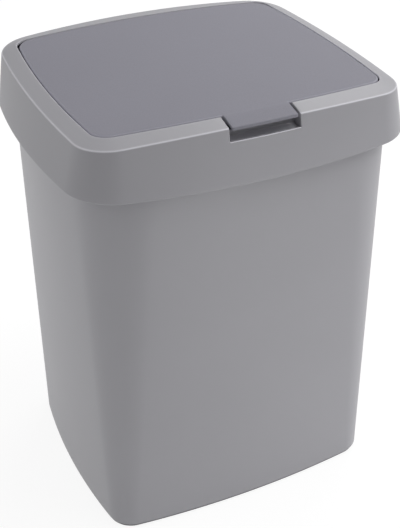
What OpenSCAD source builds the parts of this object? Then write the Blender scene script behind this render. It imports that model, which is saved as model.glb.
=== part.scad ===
// Push top countertop bin: a tapered bucket under a flared lid whose panel is pressed at a
// tab to release a latch, and then springs up on a hinge at the rear.
// Millimetres, Z up, the front is -Y, and the origin is on the floor under the middle.

/* [Bucket] */
// Height of the lid's lower edge above the floor
seam_z = 244.9; // [200:0.1:300]
// Thickness of the bucket's wall
bucket_wall = 2.4; // [1.6:0.1:3.2]
// Thickness of the bucket's floor
bucket_floor = 3; // [2:0.1:5]
// How much narrower each side is at the floor than at the seam
side_draft = 2.3; // [1:0.1:8]
// How much the front draws in from the seam to the floor
front_draft = 2.7; // [1:0.1:8]
// How much the back draws in from the seam to the floor
back_draft = 2.3; // [1:0.1:8]
// Bow of the bucket's front at the seam
bucket_bow_front = 8; // [6:0.1:10]
// Bow of the bucket's sides at the seam
bucket_bow_side = 12; // [9:0.1:13]
// Corner radius of the bucket at the seam
bucket_corner = 40; // [34:0.5:44]
// Radius of the bucket's front corners at the floor
floor_corner = 17; // [14:0.1:26]
// Radius of the bucket's rear corners at the floor
floor_rear_corner = 30; // [24:0.5:36]
// Height of the foot ring under the bucket
foot_h = 2.2; // [1.5:0.1:4]
// How far the foot ring stands in from the wall
foot_inset = 1.3; // [1.2:0.1:4]
// Width of the foot ring
foot_w = 3; // [2:0.1:5]
// Height of the bucket's neck above the seam, where the lid sits on it
neck_h = 13.1; // [10:0.1:14]

/* [Lid collar] */
// Half the width of the lid at its top edge
lid_half_w = 100; // [98:0.5:110]
// Distance of the lid's front top edge from the middle
lid_front = 88.3; // [86:0.1:94]
// Distance of the lid's rear top edge from the middle
lid_back = 89.3; // [88:0.1:94]
// Height of the collar from its lower edge to its top edge
collar_h = 32; // [30:0.1:36]
// How much the collar flares out at each side
flare_side = 8.3; // [6.5:0.1:9]
// How much the collar flares out at the front
flare_front = 6.5; // [6:0.1:8]
// How much the collar flares out at the back
flare_back = 5.5; // [4.5:0.1:7]
// Fall of the lid's top from the middle to each side
crown = 4.6; // [3:0.1:5]
// Wall of the collar
collar_wall = 2.2; // [1.6:0.1:2.4]
// Thickness of the rim band at the opening
band_t = 2.4; // [1.6:0.1:2.6]
// Width of the rim band at each side
band_side = 9.7; // [9:0.1:11]
// Width of the rim band at the front
band_front = 10; // [9:0.1:10.5]
// Width of the rim band at the back
band_back = 12.7; // [12.3:0.1:15]
// Rise of the rim band from its outer edge to the opening
band_rise = 2.1; // [1.5:0.1:2.5]

/* [Finger notch and tab] */
// Half the width of the notch in the front of the collar
notch_half_w = 21.1; // [19:0.1:26]
// Depth of the notch's lip below the lid's front top edge
notch_depth = 7.7; // [7.2:0.1:9.6]
// Gap between the tab and each side of the notch
tab_gap = 1.6; // [0.6:0.1:2]
// Thickness of the tab
tab_t = 1.9; // [1.5:0.1:2]

/* [Flap] */
// Gap between the flap and the rim band
flap_gap = 1; // [0.8:0.05:1.2]
// Thickness of the flap
flap_t = 2.2; // [1.8:0.1:2.4]
// Depth of the flap's edge below its top
rim_depth = 5.9; // [5.8:0.1:6.4]
// Press of the flap below rest, in degrees
press_angle = 1.2; // [0.8:0.1:1.3]

/* [Hinge and lift springs] */
// Depth of the hinge axis under the flap's top, at the middle
hinge_depth = 7; // [6.8:0.1:7.2]
// Distance of the hinge axis ahead of the opening's rear edge
hinge_ahead = 8; // [8:0.1:9]
// Diameter of the hinge rod
rod_d = 3; // [2.5:0.1:3.2]
// Distance of the outer ears' outer faces from the middle
ear_out = 50; // [48:0.5:52]
// Thickness of each ear
ear_t = 3; // [2.5:0.1:4]
// Length of each knuckle of the flap
knuckle_l = 7; // [5:0.1:8]
// Distance of the inner ears' outer faces from the middle
ear_in = 31; // [30:0.5:33]
// Wire of the lift springs
lift_wire = 0.9; // [0.7:0.05:1]
// Length of each lift spring's coil
lift_coil_l = 14; // [10:0.5:16]

/* [Latch] */
// Distance of the latch pin behind the flap's front edge
pin_back = 13.3; // [12.8:0.1:14]
// Depth of the latch pin below the bucket's rim
pin_drop = 15; // [14:0.1:18]
// Diameter of the latch pin
pin_d = 2.5; // [2:0.1:2.8]
// Half the width of the pawl
pawl_half_w = 4.2; // [3.8:0.1:4.4]
// Travel of the pawl when it lets go, in degrees
pawl_travel = 16; // [14:0.5:17]
// Depth of the latch housing's floor below the pin
housing_drop = 10; // [9:0.1:14]

/* [Hidden] */
$fn = 48;
fit = 0.05;
seat_gap = 0.3;

// Counts of segments along the front, the corner and the side of a quarter outline.
n_front = 6;
n_corner = 7;
n_side = 4;
n_quarter = n_front + n_corner + n_side;
n_loop = 4 * n_quarter;

bin_h = seam_z + collar_h;
flap_top = bin_h + band_rise;
rim_z = seam_z + neck_h;

// An outline is [half width, front y, back y, bow of front, of back, of sides, corner radius
// at the front, at the back]. Its three arcs meet each other on tangents.
top_line = [lid_half_w, -lid_front, lid_back, 10.5, 4.7, 5.8, 23.7, 22.1];
foot_line = [lid_half_w + flare_side, -lid_front - flare_front, lid_back + flare_back, 15.4, 6.5, 11, 31.8, 45];
open_line = [lid_half_w - band_side, -lid_front + band_front, lid_back - band_back, 10.4, 0.3, 4.8, 12.3, 8.2];
flap_line = [open_line[0], open_line[1], open_line[2], 10.4, 0.3, 4.8, 12.3, 11.5];
seam_line = [foot_line[0] - 7.6, foot_line[1] + 6.4, foot_line[2] - 11, bucket_bow_front, 8,
             bucket_bow_side, bucket_corner, bucket_corner];
floor_line = [seam_line[0] - side_draft, seam_line[1] + front_draft, seam_line[2] - back_draft,
              0.94 * bucket_bow_front, 7.5, 0.75 * bucket_bow_side, floor_corner, floor_rear_corner];
neck_line = [seam_line[0] - 0.5, seam_line[1] + 1.3, seam_line[2] - 0.6, 11.5, 7, 11, 33, 40];
mouth_line = [open_line[0] - 6.3, open_line[1] + 12.3, open_line[2] - 17.4, 9, 2, 5, 14, 12];

// Quarter of an outline from the middle of its front to the middle of its side, moved in by d.
function quarter(a, b, bow1, bow2, r, d) =
    let (
        r1 = (a * a + bow1 * bow1) / (2 * bow1),
        r2 = (b * b + bow2 * bow2) / (2 * bow2),
        c1 = [0, r1 - b],
        c2 = [a - r2, 0],
        v = c2 - c1,
        l = norm(v),
        k = ((r1 - r) * (r1 - r) - (r2 - r) * (r2 - r) + l * l) / (2 * l),
        h = sqrt((r1 - r) * (r1 - r) - k * k),
        u = v / l,
        ca = c1 + k * u + h * [-u[1], u[0]],
        cb = c1 + k * u - h * [-u[1], u[0]],
        c = ca[0] > 0 && ca[1] < 0 ? ca : cb,
        t1 = atan2(c[1] - c1[1], c[0] - c1[0]),
        t2 = atan2(c[1] - c2[1], c[0] - c2[0])
    )
    concat(
        [for (i = [0 : n_front - 1]) let (t = -90 + (t1 + 90) * i / n_front) c1 + (r1 - d) * [cos(t), sin(t)]],
        [for (i = [0 : n_corner - 1]) let (t = t1 + (t2 - t1) * i / n_corner) c + (r - d) * [cos(t), sin(t)]],
        [for (i = [0 : n_side]) let (t = t2 * (1 - i / n_side)) c2 + (r2 - d) * [cos(t), sin(t)]]
    );

// Whole outline from the middle of the front, by the right side, moved in by d.
function loop(o, d) =
    let (
        mid = (o[1] + o[2]) / 2,
        half = (o[2] - o[1]) / 2,
        f = quarter(o[0], half, o[3], o[5], o[6], d),
        k = quarter(o[0], half, o[4], o[5], o[7], d),
        n = n_quarter
    )
    concat(
        [for (i = [0 : n]) [f[i][0], f[i][1] + mid]],
        [for (i = [n - 1 : -1 : 0]) [k[i][0], mid - k[i][1]]],
        [for (i = [1 : n]) [-k[i][0], mid - k[i][1]]],
        [for (i = [n - 1 : -1 : 1]) [-f[i][0], f[i][1] + mid]]
    );

function flat(pts, z) = [for (p = pts) [p[0], p[1], z]];
function fall(x) = crown * pow(x / lid_half_w, 2);
function crowned(pts, z) = [for (p = pts) [p[0], p[1], z - fall(p[0])]];

// Points of the collar's wall, moved in by d. It is straight from the lower edge to the crowned
// top edge, and the points lie at a height z, or at a drop below the top edge.
function wall_point(a, b, t) = a * (1 - t) + b * t;
function collar_at(z, d) =
    let (f = loop(foot_line, d), t = loop(top_line, d))
    [for (i = [0 : n_loop - 1]) wall_point(f[i], t[i], (z - seam_z) / (collar_h - fall(t[i][0])))];
function collar_below(drop, d) =
    let (f = loop(foot_line, d), t = loop(top_line, d))
    [for (i = [0 : n_loop - 1]) wall_point(f[i], t[i], 1 - drop / (collar_h - fall(t[i][0])))];

// Skin over rings of n_loop points. It ends in two crowned caps, or closes on itself.
module skin(rings, closed = false) {
    m = len(rings);
    n = n_loop;
    q = n_quarter;
    last = (m - 1) * n;
    sides = [for (r = [0 : m - (closed ? 1 : 2)]) for (i = [0 : n - 1])
        let (a = r * n + i, b = r * n + (i + 1) % n, s = (r + 1) % m * n, c = s + i, e = s + (i + 1) % n)
        each [[a, c, e], [a, e, b]]];
    front = [for (j = [0 : 2 * q]) (3 * q + j) % n];
    back = [for (j = [0 : 2 * q]) 3 * q - j];
    up = [for (j = [0 : 2 * q - 1]) each concat(
        j == 2 * q - 1 ? [] : [[front[j], back[j + 1], front[j + 1]]],
        j == 0 ? [] : [[front[j], back[j], back[j + 1]]])];
    caps = closed ? [] : concat(
        [for (f = up) [f[2], f[1], f[0]]],
        [for (f = up) [f[0] + last, f[1] + last, f[2] + last]]);
    polyhedron(points = [for (r = rings) each r], faces = concat(sides, caps), convexity = 8);
}

// A profile in Y and Z, drawn between two X positions.
module bar_x(x0, x1) {
    translate([x0, 0, 0])
        rotate([90, 0, 90])
            linear_extrude(x1 - x0)
                children();
}

module rod_x(x0, x1, y, z, r) {
    translate([x0, y, z])
        rotate([0, 90, 0])
            cylinder(h = x1 - x0, r = r);
}

module block(x0, x1, y0, y1, z0, z1) {
    translate([x0, y0, z0])
        cube([x1 - x0, y1 - y0, z1 - z0]);
}

// ---- Bucket ----
inner_floor = bucket_floor + foot_h * 0.6;

module bucket() {
    wall = bucket_wall;
    edge = 1;
    step_z = seam_z + 1;
    color([0.58, 0.58, 0.6])
        skin([
            flat(loop(floor_line, foot_inset + foot_w), foot_h * 0.6),
            flat(loop(floor_line, foot_inset + foot_w), 0),
            flat(loop(floor_line, foot_inset), 0),
            flat(loop(floor_line, foot_inset), foot_h),
            flat(loop(floor_line, edge), foot_h),
            flat(loop(floor_line, 0.3 * edge), foot_h + 0.3 * edge),
            flat(loop(floor_line, 0), foot_h + edge),
            flat(loop(seam_line, 0), step_z),
            flat(loop(neck_line, 0), step_z + 4),
            flat(loop(neck_line, 0), rim_z - 0.5),
            flat(loop(neck_line, 0.5), rim_z),
            flat(loop(neck_line, wall - 0.5), rim_z),
            flat(loop(neck_line, wall), rim_z - 0.5),
            flat(loop(neck_line, wall), step_z + 4),
            flat(loop(seam_line, wall), step_z),
            flat(loop(floor_line, wall), inner_floor + 6),
            flat(loop(floor_line, wall + 1.8), inner_floor + 1.8),
            flat(loop(floor_line, wall + 6), inner_floor)
        ]);
}

// ---- Lid collar with its rim band and finger notch ----
lip_z = bin_h - notch_depth;
scoop_r = 9.5;
scoop_y = -lid_front + 2.6;
scoop_z = lip_z + 8;
pocket_back = -lid_front + 7;
pocket_wall = 1.5;
pocket_top = bin_h - 4.9;
scoop_low = scoop_z - scoop_r;

// What the finger notch takes away, seen from the side: the scoop under the tab, and all above it.
module notch_profile() {
    y_far = -lid_front - flare_front - 10;
    polygon([[y_far, lip_z], [pocket_back, lip_z], [pocket_back, pocket_top],
             [open_line[1] + 1, pocket_top], [open_line[1] + 1, flap_top + 10], [y_far, flap_top + 10]]);
    intersection() {
        translate([scoop_y, scoop_z])
            circle(r = scoop_r, $fn = 96);
        polygon([[scoop_y - scoop_r, scoop_low - 1], [pocket_back, scoop_low - 1],
                 [pocket_back, scoop_z], [scoop_y - scoop_r, scoop_z]]);
    }
}

module collar() {
    w = collar_wall;
    lip = 0.9;
    edge = 1;
    // The opening's edge is upright over this height, and cut back below it for the opening flap
    upright = 1.4;
    snap_z = rim_z - 0.2;
    color([0.62, 0.62, 0.64]) {
        difference() {
            union() {
                skin([
                    flat(loop(foot_line, lip), seam_z),
                    flat(loop(foot_line, 0.3 * lip), seam_z + 0.3 * lip),
                    flat(collar_at(seam_z + lip, 0), seam_z + lip),
                    crowned(collar_below(edge, 0), bin_h - edge),
                    crowned(loop(top_line, 0.3 * edge), bin_h - 0.3 * edge),
                    crowned(loop(top_line, edge), bin_h + 0.1),
                    crowned(loop(open_line, -0.5), flap_top - 0.1),
                    crowned(loop(open_line, 0), flap_top - 0.5),
                    crowned(loop(open_line, 0), flap_top - upright),
                    crowned(loop(open_line, -1), flap_top - band_t),
                    crowned(collar_below(band_t, w), bin_h - band_t),
                    flat(collar_at(seam_z + 0.3, w), seam_z + 0.3),
                    flat(loop(foot_line, w - 0.3), seam_z)
                ], closed = true);
                block(-notch_half_w - pocket_wall, notch_half_w + pocket_wall, -lid_front - 0.5,
                      pocket_back + pocket_wall, scoop_low - pocket_wall, pocket_top);
                block(-notch_half_w - pocket_wall, -notch_half_w + 0.1, -lid_front - 0.2,
                      pocket_back + pocket_wall, pocket_top - 1, bin_h - 0.5);
                block(notch_half_w - 0.1, notch_half_w + pocket_wall, -lid_front - 0.2,
                      pocket_back + pocket_wall, pocket_top - 1, bin_h - 0.5);
            }
            bar_x(-notch_half_w, notch_half_w)
                notch_profile();
        }
        // Snap ribs that carry the seat ring, at the four corners
        intersection() {
            skin([
                flat(collar_at(snap_z - 3, w - 0.2), snap_z - 3),
                flat(collar_at(snap_z, w - 0.2), snap_z),
                flat(collar_at(snap_z, w + 1.4), snap_z),
                flat(collar_at(snap_z - 0.8, w + 1.4), snap_z - 0.8)
            ], closed = true);
            for (sx = [-1, 1])
                for (sy = [-1, 1])
                    translate([sx * (lid_half_w - 14), sy * (lid_front - 14), snap_z - 4])
                        rotate([0, 0, sx * sy * 45])
                            translate([-15, -15, 0])
                                cube([30, 30, 6]);
        }
    }
}

// ---- Hinge ----
hinge_y = open_line[2] - hinge_ahead;
hinge_z = flap_top - hinge_depth;
rod_r = rod_d / 2;
ear_r = rod_r + 1.7;
ring_t = 2.6;
ring_top = rim_z + ring_t;
rod_end = ear_out + 1.8;
knuckle_x = ear_out - ear_t - 0.5 - knuckle_l;

module ear_profile() {
    translate([hinge_y, hinge_z])
        circle(r = ear_r);
    polygon([[hinge_y - 8, ring_top - 0.5], [hinge_y - 1.2, ring_top - 0.5], [hinge_y - 1.2, hinge_z],
             [hinge_y - ear_r + 0.1, hinge_z + 0.5], [hinge_y - 6.5, hinge_z - 1]]);
}

// ---- Latch ----
pin_y = open_line[1] + flap_gap + pin_back;
pin_z = rim_z - pin_drop;
strike_y = pin_y - 5;
strike_t = 2;
nose_top = pin_z + 19;
nose_low = nose_top - 2.7;
strike_bar = 2.5;
base_z = flap_top - flap_t - 4;
base_t = 2;
plat_back = pin_y + 12.5;
cheek_t = 2;
cheek_in = pawl_half_w + 0.4;
flange_t = 2.5;
flange_half_w = 15;
latch_screw_x = 11.5;
latch_screw_y = pin_y - 1.5;
strike_screw_x = 8;
strike_screw_y = pin_y - 1.5;
spring_y = pin_y + 8.5;
heel_low = pin_z - 1.5;
aper_half_w = cheek_in + cheek_t + 1.4;
aper_front = strike_y - strike_t - 2.5;
aper_back = pin_y + 7.5;

module seat_ring() {
    lip_out = bucket_wall + 0.4;
    lip_in = lip_out + 1.4;
    color([0.6, 0.6, 0.62])
        difference() {
            union() {
                skin([
                    flat(collar_at(rim_z, collar_wall + seat_gap), rim_z),
                    flat(collar_at(ring_top, collar_wall + seat_gap), ring_top),
                    flat(loop(mouth_line, 0), ring_top),
                    flat(loop(mouth_line, 0), rim_z),
                    flat(loop(neck_line, lip_in), rim_z),
                    flat(loop(neck_line, lip_in), rim_z - 6),
                    flat(loop(neck_line, lip_out), rim_z - 6),
                    flat(loop(neck_line, lip_out), rim_z)
                ], closed = true);
                for (s = [-1, 1]) {
                    bar_x(s * ear_out - (s > 0 ? ear_t : 0), s * ear_out + (s > 0 ? 0 : ear_t))
                        ear_profile();
                    bar_x(s * ear_in - (s > 0 ? ear_t : 0), s * ear_in + (s > 0 ? 0 : ear_t))
                        ear_profile();
                    // Stop that the open flap's rear edge comes down to
                    block(s * 63 - 3, s * 63 + 3, hinge_y + 1.6, hinge_y + 6.5, ring_top - 0.5,
                          hinge_z - (hinge_ahead - flap_gap) - seat_gap);
                    // Post that the spring's lower leg bears on
                    block(s * lift_x - 2, s * lift_x + 2, hinge_y - 7, hinge_y - lift_r - lift_wire / 2 - 0.2,
                          ring_top - 0.5, ring_top + 3);
                    // Boss of the latch screw
                    translate([s * latch_screw_x, latch_screw_y, ring_top - 0.5])
                        cylinder(h = 3.9, r = 2.9);
                }
                block(-flange_half_w - 1, flange_half_w + 1, mouth_line[1] - 2, plat_back, rim_z, ring_top);
            }
            rod_x(-rod_end, rod_end, hinge_y, hinge_z, rod_r + fit);
            block(-aper_half_w, aper_half_w, aper_front, aper_back, rim_z - 1, ring_top + 1);
            for (s = [-1, 1])
                translate([s * latch_screw_x, latch_screw_y, rim_z - 1])
                    cylinder(h = ring_t + 3.6, r = 1.4 + fit);
        }
}

module hinge_rod() {
    color([0.75, 0.75, 0.77])
        rod_x(-rod_end, rod_end, hinge_y, hinge_z, rod_r);
}

module rod_clips() {
    color([0.7, 0.7, 0.72])
        for (s = [-1, 1])
            difference() {
                rod_x(s > 0 ? ear_out + 0.2 : -ear_out - 1, s > 0 ? ear_out + 1 : -ear_out - 0.2,
                      hinge_y, hinge_z, rod_r + 1.3);
                rod_x(-rod_end, rod_end, hinge_y, hinge_z, rod_r + 0.02);
            }
}

// Coil round the rod, with a leg down to the seat ring and a leg forward under the flap.
lift_mid = 17;
lift_r = rod_r + 0.6 + lift_wire / 2;
lift_turns = floor((lift_coil_l - lift_wire) / (lift_wire + 0.42) - 0.8) + 290 / 360;
lift_pitch = (lift_coil_l - lift_wire) / lift_turns;
lift_leg = 17;
lift_steps = ceil(lift_turns * 8);
lift_x = lift_mid + (lift_coil_l - lift_wire) / 2;

function lift_point(a) = [lift_x - lift_pitch * a / 360, hinge_y + lift_r * cos(180 - a), hinge_z + lift_r * sin(180 - a)];
lift_end = lift_point(lift_turns * 360);
lift_path = concat(
    [[lift_x, hinge_y - lift_r, ring_top + 0.3]],
    [for (i = [0 : lift_steps]) lift_point(lift_turns * 360 * i / lift_steps)],
    [lift_end + lift_leg * [0, -cos(20), sin(20)]]);

function unit(v) = v / norm(v);

// Round tube along a path that never runs along X.
module wire(path, r, sides) {
    n = len(path);
    rings = [for (i = [0 : n - 1])
        let (
            t = unit(path[min(i + 1, n - 1)] - path[max(i - 1, 0)]),
            b = unit(cross(t, [1, 0, 0])),
            u = cross(b, t)
        )
        each [for (k = [0 : sides - 1]) path[i] + r * (cos(360 * k / sides) * u + sin(360 * k / sides) * b)]];
    walls = [for (i = [0 : n - 2]) for (k = [0 : sides - 1])
        let (a = i * sides + k, b = i * sides + (k + 1) % sides)
        each [[a, a + sides, b + sides], [a, b + sides, b]]];
    last = (n - 1) * sides;
    ends = concat(
        [for (k = [1 : sides - 2]) [0, k, k + 1]],
        [for (k = [1 : sides - 2]) [last, last + k + 1, last + k]]);
    polyhedron(points = rings, faces = concat(walls, ends), convexity = 6);
}

module lift_spring_right() {
    echo(str("Gap between the turns of a lift spring: ", lift_pitch - lift_wire));
    color([0.72, 0.72, 0.74])
        wire(lift_path, lift_wire / 2, 6);
}

module lift_spring_left() {
    mirror([1, 0, 0])
        lift_spring_right();
}

// ---- Flap ----
edge_r = 1.2;
function flap_ring(d, z) = crowned(loop(flap_line, flap_gap + d), z);
// Ring of the flap's rounded edge, on a quarter circle of radius edge_r that starts at the side.
function flap_edge(angle) =
    flap_ring(edge_r * (1 - cos(angle)), flap_top - edge_r * (1 - sin(angle)));

tab_half_w = notch_half_w - tab_gap;
tab_front = -lid_front - 0.5;

// Section of the tab at x, from its root in the flap to its front edge.
function tab_section(x) =
    let (
        z = flap_top - fall(x) - 0.03,
        y0 = open_line[1] + 3.2,
        y1 = open_line[1] - 0.2,
        y2 = tab_front + 10.5 * pow(x / lid_half_w, 2),
        slope = band_rise / band_front,
        z2 = z - slope * (y1 - y2)
    )
    [[x, y0, z], [x, y0, z - tab_t], [x, y1, z - tab_t], [x, y2 + 0.2, z2 - tab_t + 0.05],
     [x, y2, z2 - tab_t + 0.25], [x, y2, z2 - 0.7], [x, y2 + 0.2, z2 - 0.22], [x, y2 + 0.7, z2 + 0.1], [x, y1, z]];

module tab() {
    steps = 10;
    s = [for (i = [0 : steps]) tab_section(-tab_half_w + 2 * tab_half_w * i / steps)];
    m = len(s[0]);
    sides = [for (i = [0 : steps - 1]) for (k = [0 : m - 1])
        let (a = i * m + k, b = i * m + (k + 1) % m, c = a + m, e = b + m)
        each [[a, e, c], [a, b, e]]];
    far = steps * m;
    ends = concat(
        [for (k = [1 : m - 2]) [0, k + 1, k]],
        [for (k = [1 : m - 2]) [far, far + k, far + k + 1]]);
    polyhedron(points = [for (r = s) each r], faces = concat(sides, ends), convexity = 4);
}

module flap() {
    color([0.55, 0.55, 0.58])
        difference() {
            union() {
                skin([
                    flap_ring(flap_t, flap_top - flap_t),
                    flap_ring(flap_t, flap_top - rim_depth),
                    flap_ring(0, flap_top - rim_depth),
                    flap_edge(0),
                    flap_edge(30),
                    flap_edge(60),
                    flap_edge(90)
                ]);
                tab();
                for (s = [-1, 1]) {
                    x0 = s > 0 ? knuckle_x : -knuckle_x - knuckle_l;
                    web_top = flap_top - flap_t + 0.5 - fall(knuckle_x + knuckle_l);
                    rod_x(x0, x0 + knuckle_l, hinge_y, hinge_z, ear_r);
                    block(x0, x0 + knuckle_l, hinge_y - 2.4, hinge_y + 2.4, hinge_z, web_top);
                    // Long rib from the knuckle to the front edge
                    block(s * 43 - 0.8, s * 43 + 0.8, open_line[1] + 6, hinge_y, web_top - 3.4, web_top);
                    // Boss of the striker's screw
                    translate([s * strike_screw_x, strike_screw_y, base_z])
                        cylinder(h = 4.5, r = 3);
                }
                block(-44, 44, pin_y + 9, pin_y + 10.6, flap_top - flap_t - 3.4, flap_top - flap_t + 0.4);
            }
            rod_x(-rod_end, rod_end, hinge_y, hinge_z, rod_r + fit);
            for (s = [-1, 1])
                translate([s * strike_screw_x, strike_screw_y, base_z - 1])
                    cylinder(h = 5.2, r = 1.3 + fit);
        }
}

// Hook under the flap's front: a plate with a window that the pawl's nose reaches through.
module striker() {
    low = nose_low - seat_gap - strike_bar;
    window = 8;
    color([0.35, 0.35, 0.37])
        difference() {
            union() {
                block(-12, 12, strike_y - strike_t - 0.5, strike_y + 8, base_z - base_t, base_z);
                block(-pawl_half_w, pawl_half_w, strike_y - strike_t, strike_y, low, base_z - 1);
            }
            block(-pawl_half_w + 1.3, pawl_half_w - 1.3, strike_y - strike_t - 1, strike_y + 1,
                  low + strike_bar, low + strike_bar + window);
            for (s = [-1, 1])
                translate([s * strike_screw_x, strike_screw_y, base_z - base_t - 1])
                    cylinder(h = base_t + 2, r = 1.3 + 0.15);
        }
}

// Round headed screw that points up from z.
module screw(x, y, z, r, l) {
    translate([x, y, z - 1.6])
        difference() {
            cylinder(h = 1.6, r = 2 * r - 0.2);
            translate([-0.4, -r - 0.4, -1])
                cube([0.8, 2 * r + 0.8, 1.7]);
            translate([-r - 0.4, -0.4, -1])
                cube([2 * r + 0.8, 0.8, 1.7]);
        }
    translate([x, y, z - 0.1])
        cylinder(h = l + 0.1, r = r);
}

module striker_screws() {
    color([0.7, 0.7, 0.72])
        for (s = [-1, 1])
            screw(s * strike_screw_x, strike_screw_y, base_z - base_t, 1.3, base_t + 3.8);
}

module latch_screws() {
    color([0.7, 0.7, 0.72])
        for (s = [-1, 1])
            screw(s * latch_screw_x, latch_screw_y, rim_z - flange_t, 1.4, flange_t + ring_t + 2);
}

module latch_housing() {
    floor_top = pin_z - housing_drop;
    color([0.3, 0.3, 0.32])
        difference() {
            union() {
                block(-flange_half_w, flange_half_w, aper_front - 4, plat_back, rim_z - flange_t, rim_z);
                for (s = [-1, 1])
                    block(s > 0 ? cheek_in : -cheek_in - cheek_t, s > 0 ? cheek_in + cheek_t : -cheek_in,
                          strike_y - strike_t + 1, spring_y + 4, floor_top - 2, rim_z - flange_t + 0.5);
                block(-cheek_in - cheek_t, cheek_in + cheek_t, strike_y - strike_t + 1, spring_y + 4,
                      floor_top - 2, floor_top);
                translate([0, spring_y, floor_top - 0.5])
                    cylinder(h = 2.5, r = 1.4);
            }
            block(-cheek_in, cheek_in, aper_front, aper_back, rim_z - flange_t - 1, rim_z + 1);
            rod_x(-20, 20, pin_y, pin_z, pin_d / 2 + 0.02);
            for (s = [-1, 1])
                translate([s * latch_screw_x, latch_screw_y, rim_z - flange_t - 1])
                    cylinder(h = flange_t + 2, r = 1.4 + 0.15);
        }
}

module latch_pawl() {
    nose_tip = strike_y - strike_t - 0.7;
    arm_front = pin_y - 3;
    arm_back = pin_y + 1.5;
    color([0.8, 0.8, 0.8])
        difference() {
            union() {
                rod_x(-pawl_half_w, pawl_half_w, pin_y, pin_z, 3.2);
                bar_x(-pawl_half_w, pawl_half_w)
                    polygon([[arm_front, pin_z], [arm_back, pin_z], [arm_back, nose_top], [arm_front, nose_top]]);
                bar_x(-pawl_half_w + 1.6, pawl_half_w - 1.6)
                    polygon([[arm_front + 0.1, nose_low], [arm_front + 0.1, nose_top], [nose_tip + 1.2, nose_top],
                             [nose_tip, nose_low + 1.2], [nose_tip, nose_low]]);
                block(-pawl_half_w + 1, pawl_half_w - 1, pin_y, spring_y + 2.6, heel_low, pin_z + 1.5);
            }
            rod_x(-20, 20, pin_y, pin_z, pin_d / 2 + fit);
        }
}

module latch_pin() {
    color([0.75, 0.75, 0.77])
        rod_x(-cheek_in - cheek_t - 0.3, cheek_in + cheek_t + 0.3, pin_y, pin_z, pin_d / 2);
}

module latch_spring() {
    floor_top = pin_z - housing_drop;
    color([0.72, 0.72, 0.74])
        translate([0, spring_y, floor_top])
            difference() {
                cylinder(h = heel_low - floor_top, r = 2.5);
                translate([0, 0, -1])
                    cylinder(h = heel_low - floor_top + 2, r = 1.8);
            }
}

bucket();
collar();
seat_ring();
flap();
striker();
striker_screws();
hinge_rod();
rod_clips();
lift_spring_left();
lift_spring_right();
latch_housing();
latch_pawl();
latch_pin();
latch_spring();
latch_screws();
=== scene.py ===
# %% [markdown]
# # A push top countertop bin
# The bin is a tapered bucket under a flared lid. A panel in the lid, the flap, is pressed at a tab
# in front, which frees a catch, and two springs then swing it up on a rod at the back. The CAD
# frame already holds every piece at its real size. This lesson dresses it: the big mouldings are
# worked out again as smooth surfaces, and every piece gets the finish of its plastic or steel.

import math

import bmesh
import bpy
import numpy as np
from mathutils import Matrix


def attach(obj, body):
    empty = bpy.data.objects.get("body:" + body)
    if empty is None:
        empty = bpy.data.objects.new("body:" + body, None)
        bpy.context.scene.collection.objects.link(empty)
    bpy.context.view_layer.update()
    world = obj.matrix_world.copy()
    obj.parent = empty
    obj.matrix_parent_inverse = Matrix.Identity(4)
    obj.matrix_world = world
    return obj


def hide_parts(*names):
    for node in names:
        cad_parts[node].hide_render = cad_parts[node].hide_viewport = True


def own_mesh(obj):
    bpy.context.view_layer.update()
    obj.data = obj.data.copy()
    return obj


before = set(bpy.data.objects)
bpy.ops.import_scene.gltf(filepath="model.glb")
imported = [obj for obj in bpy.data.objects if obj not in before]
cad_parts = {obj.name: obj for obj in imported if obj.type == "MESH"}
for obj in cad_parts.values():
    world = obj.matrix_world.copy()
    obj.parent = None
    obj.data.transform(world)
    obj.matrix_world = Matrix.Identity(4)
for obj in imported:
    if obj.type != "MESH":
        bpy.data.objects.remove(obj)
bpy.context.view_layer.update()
MM = 0.001

# %% [markdown]
# ## Sizes
# A moulder draws the lid and the bucket from a few outlines. Each one has a bowed front, back and
# sides, joined by corner arcs. We could trace them by hand as curves, but arcs that meet on
# tangents need only eight numbers each, and two surfaces from the same numbers always fit.

# %% Outlines and heights, in millimetres
SEAM_Z, COLLAR_H, BAND_RISE, CROWN = 244.9, 32.0, 2.1, 4.6
BIN_H = SEAM_Z + COLLAR_H
FLAP_TOP = BIN_H + BAND_RISE
RIM_Z = SEAM_Z + 13.1
HALF_W = 100.0
# half width, front, back, bow of front, back and sides, corner radius in front, at the back
TOP = (100.0, -88.3, 89.3, 10.5, 4.7, 5.8, 23.7, 22.1)
FOOT = (108.3, -94.8, 94.8, 15.4, 6.5, 11.0, 31.8, 45.0)
OPENING = (90.3, -78.3, 76.6, 10.4, 0.3, 4.8, 12.3, 8.2)
FLAP = (90.3, -78.3, 76.6, 10.4, 0.3, 4.8, 12.3, 11.5)
SEAM = (100.7, -88.4, 83.8, 8.0, 8.0, 12.0, 40.0, 40.0)
FLOOR = (98.4, -85.7, 81.5, 7.52, 7.5, 9.0, 17.0, 30.0)
NECK = (100.2, -87.1, 83.2, 11.5, 7.0, 11.0, 33.0, 40.0)
COLLAR_WALL, BAND_T, BUCKET_WALL = 2.2, 2.4, 2.4
NOTCH_HALF, LIP_Z, LIP_R = 21.1, BIN_H - 7.7, 0.5
FLAP_GAP, FLAP_T, RIM_DEPTH, EDGE_R = 1.0, 2.2, 5.9, 1.2
FOOT_IN, FOOT_OUT = 4.3, 1.3
HINGE_Y, HINGE_Z, ROD_R = OPENING[2] - 8.0, FLAP_TOP - 7.0, 1.5


def fall(x):
    """How far the crowned top lies below its middle: the crown times the square of x over the half
    width."""
    return CROWN * (x / HALF_W) ** 2


def arc(centre, radius, a0, a1, n):
    """Points on a circle: the centre plus the radius times cosine and sine, from angle a0 up to, but
    not at, a1."""
    t = a0 + (a1 - a0) * np.arange(n) / n
    return centre + radius * np.stack([np.cos(t), np.sin(t)], 1)


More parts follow.
